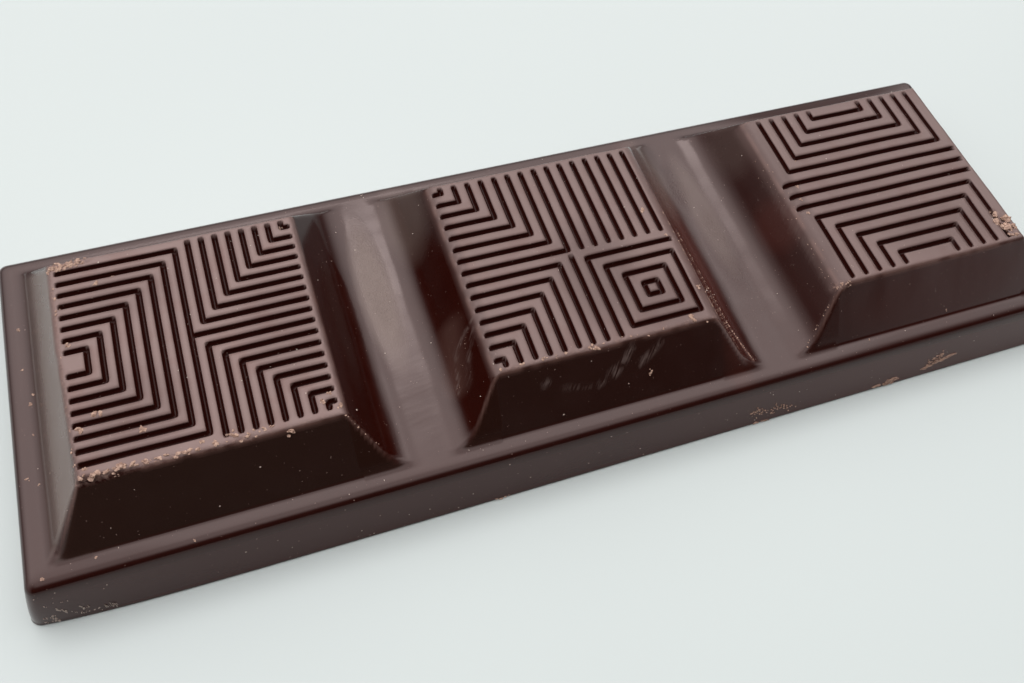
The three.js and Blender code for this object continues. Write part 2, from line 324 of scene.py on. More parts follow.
class WaveNoise:
    """Smooth noise from -1 to 1: a sum of plane waves with drawn directions and phases."""

    def __init__(self, seed, wavelength, waves=14):
        draw = np.random.default_rng(seed)
        angle = draw.uniform(0, 2 * math.pi, waves)
        length = wavelength * draw.uniform(0.6, 1.7, waves)
        self.fx = 2 * math.pi * np.cos(angle) / length
        self.fy = 2 * math.pi * np.sin(angle) / length
        self.phase = draw.uniform(0, 2 * math.pi, waves)
        self.scale = 1.6 / math.sqrt(waves)

    def __call__(self, x, y):
        total = np.zeros(np.broadcast(x, y).shape)
        for fx, fy, phase in zip(self.fx, self.fy, self.phase):
            total += np.sin(fx * x + fy * y + phase)
        return np.clip(total * self.scale * 0.8, -1.4, 1.4)


# ---------------------------------------------------------------- height of the bar over its plan

def smooth_min(a, b, softness):
    softness = np.maximum(softness, 1e-6)
    h = np.clip(0.5 + 0.5 * (b - a) / softness, 0, 1)
    return b * (1 - h) + a * h - softness * h * (1 - h)


def smooth_max(a, b, softness):
    return -smooth_min(-a, -b, softness)


def end_wall_height(u, foot_radius, rounding):
    """Height of a block's end wall at distance u from the block's middle, hollow foot included."""
    rise = BAR_HEIGHT - LEDGE_HEIGHT
    lean = math.atan2(END_WALL_RUN, rise)
    half = BLOCK_TOP_LENGTH / 2
    centre = half + END_WALL_RUN + foot_radius * math.tan((math.pi / 2 - lean) / 2)
    flat = BAR_HEIGHT - (u - half) * rise / END_WALL_RUN
    reach = np.clip(centre - u, 0, foot_radius)
    hollow = LEDGE_HEIGHT + foot_radius - np.sqrt(np.maximum(foot_radius ** 2 - reach ** 2, 0))
    wall = np.where(u < centre - foot_radius * math.cos(lean), flat, hollow)
    return smooth_min(np.full_like(wall, BAR_HEIGHT), wall, rounding)


def long_wall_height(y):
    rise = BAR_HEIGHT - LEDGE_HEIGHT
    flat = BAR_HEIGHT - (np.abs(y) - BLOCK_TOP_WIDTH / 2) * rise / LONG_WALL_RUN
    wall = smooth_min(np.full_like(flat, BAR_HEIGHT), flat, LONG_EDGE_ROUNDING)
    rounding = np.where(y < 0, FRONT_FOOT_ROUNDING, BACK_FOOT_ROUNDING)
    return smooth_max(np.full_like(flat, LEDGE_HEIGHT), wall, rounding)


def worn_back(x, y):
    """How far the front and the left top edge are worn back at each point: only near one corner."""
    front = FRONT_LOSS * np.clip((-38.2 - x) / 4, 0, 1) * (y < 0)
    left = LEFT_LOSS * np.clip((2 - y) / 12, 0, 1) * (x < -BLOCK_SPACING)
    return front, left


def wall_heights(x, y, block):
    """Height of a block's end walls and of its front and back walls at each point."""
    u = x - block["x"]
    front_loss, left_loss = worn_back(x, y)
    rise = BAR_HEIGHT - LEDGE_HEIGHT
    y = y - front_loss * np.clip((long_wall_height(y) - LEDGE_HEIGHT) / rise, 0, 1)
    (left_foot, right_foot), (left_edge, right_edge) = block["feet"], block["edges"]
    plain = end_wall_height(np.abs(u), left_foot, left_edge)
    u = u - left_loss * np.clip((plain - LEDGE_HEIGHT) / rise, 0, 1)
    left = end_wall_height(np.abs(u), left_foot, left_edge)
    right = end_wall_height(np.abs(u), right_foot, right_edge)
    return np.where(u < 0, left, right), long_wall_height(y)


def block_height(x, y, block):
    ends, longs = wall_heights(x, y, block)
    drop = BAR_HEIGHT - np.maximum(ends, longs)
    stand = np.minimum(ends, longs) - LEDGE_HEIGHT
    worn_ridge = (x < -BLOCK_SPACING) & (y < 0)
    rounding = RIDGE_ROUNDING + np.where(worn_ridge, WORN_RIDGE_ROUNDING, 0) * np.clip(drop / 4, 0, 1)
    softness = rounding * np.clip(drop / 0.8, 0, 1) * np.clip(stand / 0.6, 0, 1)
    return np.maximum(smooth_min(ends, longs, softness), LEDGE_HEIGHT)


def distance_to_lines(x, y, block):
    """Distance from each point to the nearest groove's middle line, in millimetres."""
    nearest = np.full(x.shape, 9.0)
    pitch_x, pitch_y = block["pitch"]
    for line in block["lines"]:
        points = [(block["x"] + j * pitch_x, block["pattern_y"] + k * pitch_y) for j, k in line]
        for (ax, ay), (bx, by) in zip(points[:-1], points[1:]):
            length_sq = (bx - ax) ** 2 + (by - ay) ** 2
            t = np.clip(((x - ax) * (bx - ax) + (y - ay) * (by - ay)) / length_sq, 0, 1)
            gap = np.hypot(x - ax - t * (bx - ax), y - ay - t * (by - ay))
            nearest = np.minimum(nearest, gap)
    return nearest


def groove_depth(distance):
    slope = GROOVE_DEPTH * 2 / (GROOVE_WIDTH - GROOVE_FLOOR)
    wall = (GROOVE_WIDTH / 2 - distance) * slope
    depth = smooth_max(np.zeros_like(wall), wall, LIP_ROUNDING * slope)
    return smooth_min(depth, np.full_like(wall, GROOVE_DEPTH), 0.08)


SLOW_WAVES = WaveNoise(11, 9.0)
QUICK_WAVES = WaveNoise(12, 2.6)


def top_height(x, y):
    z = np.full(x.shape, LEDGE_HEIGHT)
    for block in BLOCKS:
        z = np.maximum(z, block_height(x, y, block))
    inside = np.minimum(BAR_LENGTH / 2 - np.abs(x), BAR_WIDTH / 2 - np.abs(y)) - INNER_INSET
    waves = SLOW_WAVE_HEIGHT * SLOW_WAVES(x, y) + QUICK_WAVE_HEIGHT * QUICK_WAVES(x, y)
    z = z - waves * np.clip(inside / 3, 0, 1)
    for block in BLOCKS:
        near_x = np.abs(x - block["x"]) < BLOCK_TOP_LENGTH / 2 + 0.2
        near = near_x & (np.abs(y) < BLOCK_TOP_WIDTH / 2 + 0.2)
        distance = distance_to_lines(x[near], y[near], block)
        z[near] -= groove_depth(distance)
    return z - wear(x, y)[0]


def stretch_mask(x, y, start, end, half_width):
    """1 along the middle of a stretch, falling to 0 at its half width."""
    (ax, ay), (bx, by) = start, end
    t = np.clip(((x - ax) * (bx - ax) + (y - ay) * (by - ay)) / ((bx - ax) ** 2 + (by - ay) ** 2), 0, 1)
    gap = np.hypot(x - ax - t * (bx - ax), y - ay - t * (by - ay))
    return np.clip(1.25 * (1 - gap / half_width), 0, 1)


CHIP_WAVES = WaveNoise(13, 0.75, 24)
PATCH_WAVES = WaveNoise(14, 2.2, 18)


def wear(x, y):
    """How deep and how pale the damage is at each point."""
    depth = np.zeros(x.shape)
    pale = np.zeros(x.shape)
    rough = np.clip(0.5 + 0.9 * CHIP_WAVES(x, y), 0, 1) * np.clip(0.6 + 0.6 * PATCH_WAVES(x, y), 0.1, 1)
    for start, end, half_width, deep, strength in WORN_STRETCHES:
        mask = stretch_mask(x, y, start, end, half_width)
        depth = np.maximum(depth, mask * rough * deep)
        pale = np.maximum(pale, np.clip(mask * 1.3, 0, 1) * (0.35 + 0.65 * rough) * strength)
    return depth, pale


def stretches_mask(x, y, stretches):
    mask = np.zeros(x.shape)
    for start, end, half_width, strength in stretches:
        mask = np.maximum(mask, strength * stretch_mask(x, y, start, end, half_width))
    return mask


def spots_mask(x, y, spots):
    mask = np.zeros(x.shape)
    for cx, cy, half_x, half_y, strength in spots:
        reach = np.hypot((x - cx) / half_x, (y - cy) / half_y)
        mask = np.maximum(mask, strength * np.clip(2.0 * (1 - reach), 0, 1))
    return mask


def face_mask(x, y, block):
    """1 on the lands between the grooves, falling to 0 in the grooves and over the block's edges."""
    land = np.clip((distance_to_lines(x, y, block) - GROOVE_WIDTH / 2) / LIP_ROUNDING + 1, 0, 1)
    front_loss, left_loss = worn_back(x, y)
    u = x - block["x"] - left_loss
    y = y - front_loss
    rounding = np.where(u < 0, *block["edges"])
    past_end = (np.abs(u) - BLOCK_TOP_LENGTH / 2 + 0.1) / (0.2 + 0.5 * rounding)
    past_side = (np.abs(y) - BLOCK_TOP_WIDTH / 2 + 0.06) / 0.16
    return land * (1 - np.clip(past_end, 0, 1)) * (1 - np.clip(past_side, 0, 1))


def rubbed_mask(x, y, block):
    """1 along a block's top edges and front ridges, where they are rubbed pale."""
    front_loss, left_loss = worn_back(x, y)
    u = x - block["x"] - left_loss
    outside = np.maximum(np.abs(u) - BLOCK_TOP_LENGTH / 2, np.abs(y - front_loss) - BLOCK_TOP_WIDTH / 2)
    edge = np.clip(1.2 - np.abs(outside - 0.08) / 0.2, 0, 1)
    ends, longs = wall_heights(x, y, block)
    drop = BAR_HEIGHT - np.maximum(ends, longs)
    stand = np.minimum(ends, longs) - LEDGE_HEIGHT
    ridge = np.clip(1.3 - np.abs(ends - longs) / 0.28, 0, 1) * (y < 0)
    ridge *= np.clip(drop / 0.2, 0, 1) * np.clip((stand - 0.3) / 2.5, 0, 1)
    return np.maximum(edge * np.clip(0.75 + 0.5 * PATCH_WAVES(x, y), 0.2, 1), 0.8 * ridge)


def channel_walls(x, z):
    """How dull the walls that face the channels are, and 1 on those of them that face left."""
    dull = np.zeros(x.shape)
    facing_left = np.zeros(x.shape)
    high = np.clip((z - LEDGE_HEIGHT - 0.3) / 0.8, 0, 1)
    for middle, (left_dull, right_dull) in CHANNEL_DULLNESS.items():
        reach = BLOCK_SPACING / 2 - BLOCK_TOP_LENGTH / 2 - np.abs(x - middle)
        wall = np.clip(reach / 0.3, 0, 1) * high
        dull = np.maximum(dull, wall * np.where(x < middle, left_dull, right_dull))
        facing_left = np.maximum(facing_left, wall * (x > middle))
    return dull, facing_left


def front_walls_painted_reflection(x, y, z):
    """1 on the first block's front wall, less on those further right: painted reflection, a greyer brown in
    place of the walls' reflection of the space in front.
    """
    mask = np.zeros(x.shape)
    for block in BLOCKS:
        near = np.abs(x - block["x"]) < BLOCK_SPACING / 2
        ends, longs = wall_heights(x[near], y[near], block)
        mask[near] = np.clip((ends - longs) / 0.3, 0, 1)
    mask *= (y < -BLOCK_TOP_WIDTH / 2 - 0.1) * np.clip((z - LEDGE_HEIGHT) / 0.2, 0, 1)
    return mask * np.clip(0.5 - x / 66, 0, 1)


def left_wall_painted_reflection(x, y):
    """Painted reflection of the pale table on the first block's left wall, thinning out toward its foot."""
    inside = np.minimum(-43.1 - x, -43.3 - x + 10.2 - np.abs(y))
    return 0.9 * np.clip(inside / 0.4, 0, 1) * np.clip((x + 46.9) / 1.6, 0, 1)


def groove_mask(x, y, block):
    """1 in the grooves of a block's top."""
    u = np.abs(x - block["x"])
    groove = np.clip((GROOVE_WIDTH / 2 - distance_to_lines(x, y, block)) / 0.06, 0, 1)
    return groove * (u < BLOCK_TOP_LENGTH / 2) * (np.abs(y) < BLOCK_TOP_WIDTH / 2)


def side_painted_reflection_mask(x, z):
    """Painted reflection: 1 on the slab's side walls at the bar's right, falling to one half at its middle
    and left; a paler brown there stands in for the walls' reflection of the table.
    """
    return np.clip((LEDGE_HEIGHT - 0.8 - z) / 0.4, 0, 1) * (0.5 + 0.5 * np.clip(x / 30, 0, 1))


def masks(x, y, z):
    """The surface's named masks at each point, from 0 to 1."""
    face = np.zeros(x.shape)
    rubbed = np.zeros(x.shape)
    bloom = np.zeros(x.shape)
    groove = np.zeros(x.shape)
    for block in BLOCKS:
        near = np.abs(x - block["x"]) < BLOCK_SPACING / 2
        groove[near] = groove_mask(x[near], y[near], block)
        face[near] = face_mask(x[near], y[near], block)
        bloom[near] = face[near] * block["bloom"]
        rubbed[near] = rubbed_mask(x[near], y[near], block)
    walls, facing_left = channel_walls(x, z)
    return {
        "face": face,
        "bloom": bloom * (1 - 0.45 * spots_mask(x, y, BARE_SPOTS)),
        "rubbed": np.maximum(rubbed, stretches_mask(x, y, RUBBED_LINES)),
        "worn": wear(x, y)[1],
        "scuff": stretches_mask(x, y, SCUFF_STRETCHES),
        # Dusty spots, and the painted reflection of the table on the first block's left wall
        "dust_and_reflection": np.maximum(spots_mask(x, y, HAZE_SPOTS), left_wall_painted_reflection(x, y)),
        "warm": spots_mask(x, y, WARM_SPOTS),
        "dull": np.maximum(np.maximum(walls, groove), spots_mask(x, y, DULL_SPOTS)),
        "soft": np.maximum(np.maximum(facing_left, groove), spots_mask(x, y, SOFT_SPOTS)),
        "front": front_walls_painted_reflection(x, y, z),
        "side": side_painted_reflection_mask(x, z),
        "grainy": spots_mask(x, y, GRAINY_SPOTS),
        "rippled": spots_mask(x, y, RIPPLED_SPOTS),
    }


# ---------------------------------------------------------------- mesh

class MeshBuilder:
    def __init__(self):
        self.points = []
        self.count = 0
        self.faces = []

    def add_points(self, points):
        start = self.count
        self.points.append(np.asarray(points, float))
        self.count += len(points)
        return np.arange(start, self.count)

    def add_grid(self, ids):
        """Quads over a grid of point numbers, its first axis along +X and its second along +Y."""
        a, b = ids[:-1, :-1], ids[1:, :-1]
        c, d = ids[1:, 1:], ids[:-1, 1:]
        self.faces += np.stack([a, b, c, d], -1).reshape(-1, 4).tolist()

    def zip_rows(self, lower, upper, lower_t, upper_t):
        """Triangles between two rows of points that run the same way, upper on the left of lower."""
        i = j = 0
        while i < len(lower) - 1 or j < len(upper) - 1:
            step_lower = j == len(upper) - 1 or (i < len(lower) - 1 and lower_t[i + 1] <= upper_t[j + 1])
            if step_lower:
                self.faces.append([lower[i], lower[i + 1], upper[j]])
                i += 1
            else:
                self.faces.append([lower[i], upper[j + 1], upper[j]])
                j += 1

    def build(self, name):
        mesh = bpy.data.meshes.new(name)
        points = np.concatenate(self.points) * MM
        mesh.from_pydata(points.tolist(), [], [[int(i) for i in face] for face in self.faces])
        mesh.validate()
        mesh.shade_smooth()
        x, y, z = (points / MM).T
        for mask, values in masks(x, y, z).items():
            layer = mesh.attributes.new(mask, "FLOAT", "POINT")
            layer.data.foreach_set("value", values.astype(np.float32))
        obj = bpy.data.objects.new(name, mesh)
        bpy.context.scene.collection.objects.link(obj)
        return obj


def filled(lines, gap_at, low, high):
    """The lines with more put in between them, no further apart than gap_at says, from low to high."""
    lines = sorted([low, high] + [line for line in lines if low < line < high])
    result = [low]
    for line in lines[1:]:
        start = result[-1]
        if line - start < 0.02 and line != high:
            continue
        steps = max(1, math.ceil((line - start) / gap_at((line + start) / 2) - 1e-6))
        result += [start + (line - start) * (i + 1) / steps for i in range(steps)]
    return np.array(result)


def groove_lines(centre, pitch, numbers):
    open_half = GROOVE_WIDTH / 2
    offsets = (open_half + LIP_ROUNDING, open_half - LIP_ROUNDING, GROOVE_FLOOR / 2)
    lines = []
    for number in numbers:
        middle = centre + number * pitch
        lines += [middle + side * offset for offset in offsets for side in (-1, 1)]
    return lines


def across_gap(v):
    v = abs(v)
    return FINE_GAP if PLAIN_RIM_START < v < WALLS_END else CHANNEL_GAP


def strips():
    """Columns of the inner plan: each with its lines along X and along Y."""
    edge_y = BAR_WIDTH / 2 - INNER_INSET
    edge_x = BAR_LENGTH / 2 - INNER_INSET
    margin = BLOCK_TOP_LENGTH / 2 + STRIP_MARGIN
    plain_y = filled([], across_gap, -edge_y, edge_y)
    result = []
    start = -edge_x
    for block in BLOCKS:
        left = block["x"] - margin
        right = block["x"] + margin
        result.append((filled([], lambda v: END_GAP, start, left - STRIP_SEAM), plain_y))
        columns = range(-8, 9)
        face_x = groove_lines(block["x"], block["pitch"][0], columns)
        face_y = groove_lines(block["pattern_y"], block["pitch"][1], columns)
        face_x = [v for v in face_x if abs(v - block["x"]) < GROOVES_END]
        face_y = [v for v in face_y if abs(v) < GROOVES_END]
        middle_x = block["x"]
        lines_x = filled(
            face_x, lambda v: FINE_GAP if abs(v - middle_x) > RIM_START else FACE_GAP, left, right)
        lines_y = filled(
            face_y, lambda v: RIM_GAP if RIM_START < abs(v) < WALLS_END else FACE_GAP, -edge_y, edge_y)
        result.append((lines_x, lines_y))
        start = right + STRIP_SEAM
    result.append((filled([], lambda v: END_GAP, start, edge_x), plain_y))
    return result


def rounded_outline(inset, radius, count_x, count_y, count_corner):
    """A rounded rectangle, anticlockwise from the front left corner's end."""
    half_x = BAR_LENGTH / 2 - inset
    half_y = BAR_WIDTH / 2 - inset
    points = []
    sides = [
        ((-half_x + radius, -half_y), (half_x - radius, -half_y), count_x),
        ((half_x, -half_y + radius), (half_x, half_y - radius), count_y),
        ((half_x - radius, half_y), (-half_x + radius, half_y), count_x),
        ((-half_x, half_y - radius), (-half_x, -half_y + radius), count_y),
    ]
    centres = [(half_x - radius, -half_y + radius), (half_x - radius, half_y - radius),
               (-half_x + radius, half_y - radius), (-half_x + radius, -half_y + radius)]
    for side, ((ax, ay), (bx, by), count) in enumerate(sides):
        for i in range(count):
            t = i / count
            points.append((ax + (bx - ax) * t, ay + (by - ay) * t))
        for i in range(count_corner):
            angle = math.pi / 2 * (side - 1 + i / count_corner)
            cx, cy = centres[side]
            points.append((cx + radius * math.cos(angle), cy + radius * math.sin(angle)))
    return np.array(points)


def corner_loss(x, y, height):
    """How far the foot of the slab's front left corner is worn back at each point."""
    away = np.hypot(x + BAR_LENGTH / 2, y + BAR_WIDTH / 2)
    return CORNER_LOSS * np.exp(-away / CORNER_REACH) * (1 - height / LEDGE_HEIGHT) ** 2


def corner_worn_back(outline, height):
    """The outline at a height with the foot of its front left corner drawn back."""
    loss = corner_loss(outline[:, 0], outline[:, 1], height)
    return outline + loss[:, None] * np.array(CORNER_LOSS_HEADING)


def wall_levels():
    """Heights and insets up the side wall, over its rounded edge and onto the ledge."""
    lean = math.atan2(SLAB_LEAN, LEDGE_HEIGHT)
    levels = []
    for i in range(UNDERSIDE_STEPS):
        angle = math.pi / 2 * i / UNDERSIDE_STEPS
        levels.append((
            UNDERSIDE_ROUNDING * (1 - math.cos(angle)),
            UNDERSIDE_ROUNDING * (1 - math.sin(angle)),
        ))
    centre_height = LEDGE_HEIGHT - SLAB_EDGE_RADIUS
    for height in np.linspace(UNDERSIDE_ROUNDING, centre_height, WALL_STEPS)[:-1]:
        levels.append((height, height * math.tan(lean)))
    centre_inset = centre_height * math.tan(lean) + SLAB_EDGE_RADIUS / math.cos(lean)
    for i in range(EDGE_STEPS):
        angle = lean + (math.pi / 2 - lean) * i / (EDGE_STEPS - 1)
        levels.append((
            centre_height + SLAB_EDGE_RADIUS * math.sin(angle),
            centre_inset - SLAB_EDGE_RADIUS * math.cos(angle),
        ))
    levels.append((LEDGE_HEIGHT, INNER_INSET - 0.2))
    return levels


def running_number(points):
    """A number from 0 to 4 that grows all round the bar, for matching rows of points side by side."""
    x = np.clip(points[:, 0] / (BAR_LENGTH / 2 - INNER_INSET), -1, 1)
    y = np.clip(points[:, 1] / (BAR_WIDTH / 2 - INNER_INSET), -1, 1)
    side = np.argmax(np.stack([-y, x, y, -x]), axis=0)
    along = np.choose(side, [x, y, -x, -y])
    return side + (along + 1) / 2


def make_bar():
    mesh = MeshBuilder()
    front_row, back_row = [], []
    previous = None
    columns = strips()
    left_side = right_side = None
    for lines_x, lines_y in columns:
        grid_x, grid_y = np.meshgrid(lines_x, lines_y, indexing="ij")
        z = top_height(grid_x.ravel(), grid_y.ravel())
        ids = mesh.add_points(np.stack([grid_x.ravel(), grid_y.ravel(), z], -1)).reshape(grid_x.shape)
        mesh.add_grid(ids)
        if previous is not None:
            prev_ids, prev_y = previous
            mesh.zip_rows(ids[0], prev_ids[-1], lines_y, prev_y)
        else:
            left_side = ids[0]
        previous = (ids, lines_y)
        front_row += ids[:, 0].tolist()
        back_row += ids[:, -1].tolist()
        right_side = ids[-1]
    inner = front_row + right_side.tolist()[1:] + back_row[::-1][1:] + left_side.tolist()[::-1][1:-1]
    inner = np.array(inner + [inner[0]])

    count_x = round(BAR_LENGTH / WALL_GAP)
    count_y = round(BAR_WIDTH / WALL_GAP)
    rings = []
    for height, inset in wall_levels():
        radius = SLAB_CORNER_RADIUS * (1 - INNER_CORNER_SHARPNESS * inset / INNER_INSET)
        radius *= 1 - FOOT_CORNER_SHARPNESS * (1 - height / LEDGE_HEIGHT)
        outline = corner_worn_back(rounded_outline(inset, radius, count_x, count_y, CORNER_STEPS), height)
        z = np.full(len(outline), height)
        rings.append(mesh.add_points(np.column_stack([outline, z])))
    for low, high in zip(rings[:-1], rings[1:]):
        low_next, high_next = np.roll(low, -1), np.roll(high, -1)
        mesh.faces += np.stack([low, low_next, high_next, high], -1).tolist()
    mesh.faces.append(rings[0][::-1].tolist())

    points = np.concatenate(mesh.points)
    outer = rings[-1]
    shift = int(np.argmin(running_number(points[outer])))
    outer = np.roll(outer, -shift)
    outer = np.append(outer, outer[0])
    outer_t = running_number(points[outer])
    inner_t = running_number(points[inner])
    outer_t[-1] = inner_t[-1] = 4.0
    outer_t = np.maximum.accumulate(outer_t)
    inner_t = np.maximum.accumulate(inner_t)
    mesh.zip_rows(outer, inner, outer_t, inner_t)
    return mesh.build("chocolate_bar")


# ---------------------------------------------------------------- materials

def add_node(tree, kind, inputs=None, **settings):
    """A new node with its settings made and its inputs set or linked."""
    made = tree.nodes.new(kind)
    for name, value in settings.items():
        setattr(made, name, value)
    for socket, value in (inputs or {}).items():
        if isinstance(value, bpy.types.NodeSocket):
            tree.links.new(value, made.inputs[socket])
        else:
            made.inputs[socket].default_value = value
    return made


class Shading:
    """Short calls for the nodes of one material, with lengths in millimetres."""

    def __init__(self, name):
        self.material = bpy.data.materials.new(name)
        self.material.use_nodes = True
        self.tree = self.material.node_tree
        self.shader = self.tree.nodes["Principled BSDF"]
        where = add_node(self.tree, "ShaderNodeTexCoord").outputs["Object"]
        scaled = add_node(self.tree, "ShaderNodeVectorMath", {0: where, "Scale": 1 / MM}, operation="SCALE")
        self.place = scaled.outputs[0]

    def noise(self, size, detail=2.0, stretch=None):
        """Noise from 0 to 1 whose lumps are about size across, stretched along an axis if asked."""
        place = self.place
        if stretch:
            turned = add_node(self.tree, "ShaderNodeMapping", {
                "Vector": place, "Rotation": stretch[0], "Scale": stretch[1]}, vector_type="TEXTURE")
            place = turned.outputs[0]
        made = add_node(self.tree, "ShaderNodeTexNoise", {
            "Vector": place, "Scale": 1 / size, "Detail": detail})
        return made.outputs["Fac"]

    def attribute(self, name):
        return add_node(self.tree, "ShaderNodeAttribute", attribute_name=name).outputs["Fac"]

    def maths(self, operation, a, b=0.0, clamp=False):
        return add_node(
            self.tree, "ShaderNodeMath", {0: a, 1: b}, operation=operation, use_clamp=clamp).outputs[0]

    def step(self, value, low, high, out_low=0.0, out_high=1.0):
        made = add_node(self.tree, "ShaderNodeMapRange", {
            "Value": value, "From Min": low, "From Max": high, "To Min": out_low, "To Max": out_high},
            interpolation_type="SMOOTHSTEP")
        return made.outputs[0]

    def mix(self, factor, a, b):
        made = add_node(self.tree, "ShaderNodeMix", data_type="RGBA")
        for socket, value in ((0, factor), (6, a), (7, b)):
            if isinstance(value, bpy.types.NodeSocket):
                self.tree.links.new(value, made.inputs[socket])
            else:
                made.inputs[socket].default_value = value if socket == 0 else (*value, 1)
        return made.outputs[2]

    def bump(self, height, distance, normal=None):
        inputs = {"Height": height, "Strength": 1.0, "Distance": distance * MM}
        if normal is not None:
            inputs["Normal"] = normal
        return add_node(self.tree, "ShaderNodeBump", inputs).outputs[0]

    def link(self, value, socket):
        self.tree.links.new(value, self.shader.inputs[socket])


def chocolate_material():
    s = Shading("dark_chocolate")
    face, bloom, rubbed, worn = [s.attribute(name) for name in ("face", "bloom", "rubbed", "worn")]
    scuff, dust_and_reflection, warm = [s.attribute(name) for name in ("scuff", "dust_and_reflection", "warm")]
    dull, soft, front, side = [s.attribute(name) for name in ("dull", "soft", "front", "side")]
    grainy, rippled = [s.attribute(name) for name in ("grainy", "rippled")]

    mottle = s.noise(2.6, 3.0)
    grain = s.noise(0.22, 3.0)
    sand = s.noise(0.16, 2.0)
    ripple = s.noise(0.45, 1.0, ((0.0, 0.0, 0.12), (7.0, 1.0, 1.0)))
    crumb = s.step(s.noise(0.3, 4.0), 0.42, 0.6)
    streak = s.step(s.noise(0.16, 2.0, ((0.0, 0.0, 0.87), (9.0, 1.0, 9.0))), 0.35, 0.65)
    cloud = s.step(s.noise(0.9, 1.0), 0.25, 0.6)
    fleck = s.step(s.noise(0.16, 1.0), 0.775, 0.80)

    colour = s.mix(mottle, DEEP_CHOCOLATE, WARM_CHOCOLATE)
    # Painted reflection: a greyer brown on the blocks' front walls, strongest on the first block
    colour = s.mix(front, colour, FRONT_WALL_PAINTED_REFLECTION)
    colour = s.mix(warm, colour, WARM_WALL)
    # Pale dust at the dusty spots, and a painted reflection of the table on the first block's left wall
    colour = s.mix(dust_and_reflection, colour, DUST_AND_PAINTED_REFLECTION)
    # Painted reflection of the table on the slab's side walls, stronger toward the right
    colour = s.mix(side, colour, SIDE_PAINTED_REFLECTION)
    colour = s.mix(rubbed, colour, RUBBED)
    powder = s.mix(s.step(mottle, 0.3, 0.55, 0.6), FACE_WARM, FACE_BLOOM)
    colour = s.mix(bloom, colour, powder)
    colour = s.mix(s.maths("MULTIPLY", s.maths("MULTIPLY", scuff, cloud), streak, True), colour, SCUFF)
    colour = s.mix(s.maths("MULTIPLY", worn, crumb, True), colour, WORN)
    colour = s.mix(fleck, colour, FLECK)
    s.link(colour, "Base Color")

    rough = s.step(mottle, 0.3, 0.7, 0.12, 0.17)
    for mask, more in (
            (rubbed, 0.12), (face, 0.28), (dust_and_reflection, 0.16), (grainy, 0.04), (worn, 0.3), (soft, 0.12)):
        rough = s.maths("ADD", rough, s.maths("MULTIPLY", mask, more))
    s.link(s.maths("MINIMUM", rough, 0.6), "Roughness")
    s.shader.inputs["IOR"].default_value = 1.47
    less_sheen = s.maths("MAXIMUM", dull, s.maths("MULTIPLY", side, 0.4))
    s.link(s.step(less_sheen, 0.0, 1.0, 0.5, 0.1), "Specular IOR Level")
    s.shader.inputs["Specular Tint"].default_value = (*SHEEN_TINT, 1)

    normal = s.bump(grain, 0.003)
    normal = s.bump(s.maths("MULTIPLY", grainy, sand), 0.08, normal)
    normal = s.bump(s.maths("MULTIPLY", rippled, ripple), 0.008, normal)
    s.link(s.bump(s.maths("MULTIPLY", worn, crumb), 0.04, normal), "Normal")
    return s.material


def crumb_material(name, dark, pale):
    s = Shading(name)
    s.link(s.mix(s.step(s.noise(0.25, 3.0), 0.35, 0.65), dark, pale), "Base Color")
    s.link(s.bump(s.noise(0.08, 2.0), 0.02), "Normal")
    s.shader.inputs["Roughness"].default_value = 0.55
    return s.material


def table_material():
    s = Shading("pale_table")
    s.link(s.mix(s.noise(60.0, 1.0), TABLE_COOL, TABLE_PALE), "Base Color")
    s.shader.inputs["Roughness"].default_value = 0.35
    s.shader.inputs["Specular IOR Level"].default_value = 0.35
    return s.material


# ---------------------------------------------------------------- crumbs

def lump_shape():
    """Points and faces of a small sphere of eighty triangles."""
    sphere = bmesh.new()
    bmesh.ops.create_icosphere(sphere, subdivisions=2, radius=1.0)
    points = np.array([v.co for v in sphere.verts])
    faces = np.array([[v.index for v in f.verts] for f in sphere.faces])
    sphere.free()
    return points, faces


def make_lumps(name, lumps, seed):
    """One mesh of ragged lumps: each has a place, a length, a width, a height and a turn."""
    draw = np.random.default_rng(seed)
    shape, faces = lump_shape()
    all_points, all_faces = [], []
    for number, (place, length, width, height, turn) in enumerate(lumps):
        points = shape * (1 + draw.uniform(-LUMP_RAGGEDNESS, LUMP_RAGGEDNESS, (len(shape), 1)))
        points = points * np.array([length, width, height]) / 2
        c, s = math.cos(turn), math.sin(turn)
        points = np.column_stack([
            points[:, 0] * c - points[:, 1] * s, points[:, 0] * s + points[:, 1] * c, points[:, 2]])
        all_points.append(points + np.array(place))
        all_faces.append(faces + number * len(shape))
    mesh = bpy.data.meshes.new(name)
    mesh.from_pydata((np.concatenate(all_points) * MM).tolist(), [], np.concatenate(all_faces).tolist())
    obj = bpy.data.objects.new(name, mesh)
    bpy.context.scene.collection.objects.link(obj)
    return obj


def wall_point(x, height):
    """A point on the slab's leaning front wall."""
    y = -BAR_WIDTH / 2 + height * SLAB_LEAN / LEDGE_HEIGHT
    return (x, y + float(corner_loss(x, y, height)), height)


def surface_point(x, y, sunk=0.0):
    z = float(top_height(np.array([x]), np.array([y]))[0])
    return (x, y, z - sunk)


def wall_lumps(stretches, thickness, draw):
    """Flakes of one thickness on the front wall."""
    lumps = []
    for x0, height0, x1, height1, spread, size, tall, count in stretches:
        for _ in range(count):
            t = draw.uniform()
            height = height0 + (height1 - height0) * t + draw.normal(0, spread)
            place = wall_point(x0 + (x1 - x0) * t, max(0.6 * tall + 0.03, height))
            lumps.append((place, size * draw.uniform(0.4, 1.4), thickness, tall * draw.uniform(0.6, 1.2),
                          draw.uniform(-0.2, 0.2)))
    return lumps


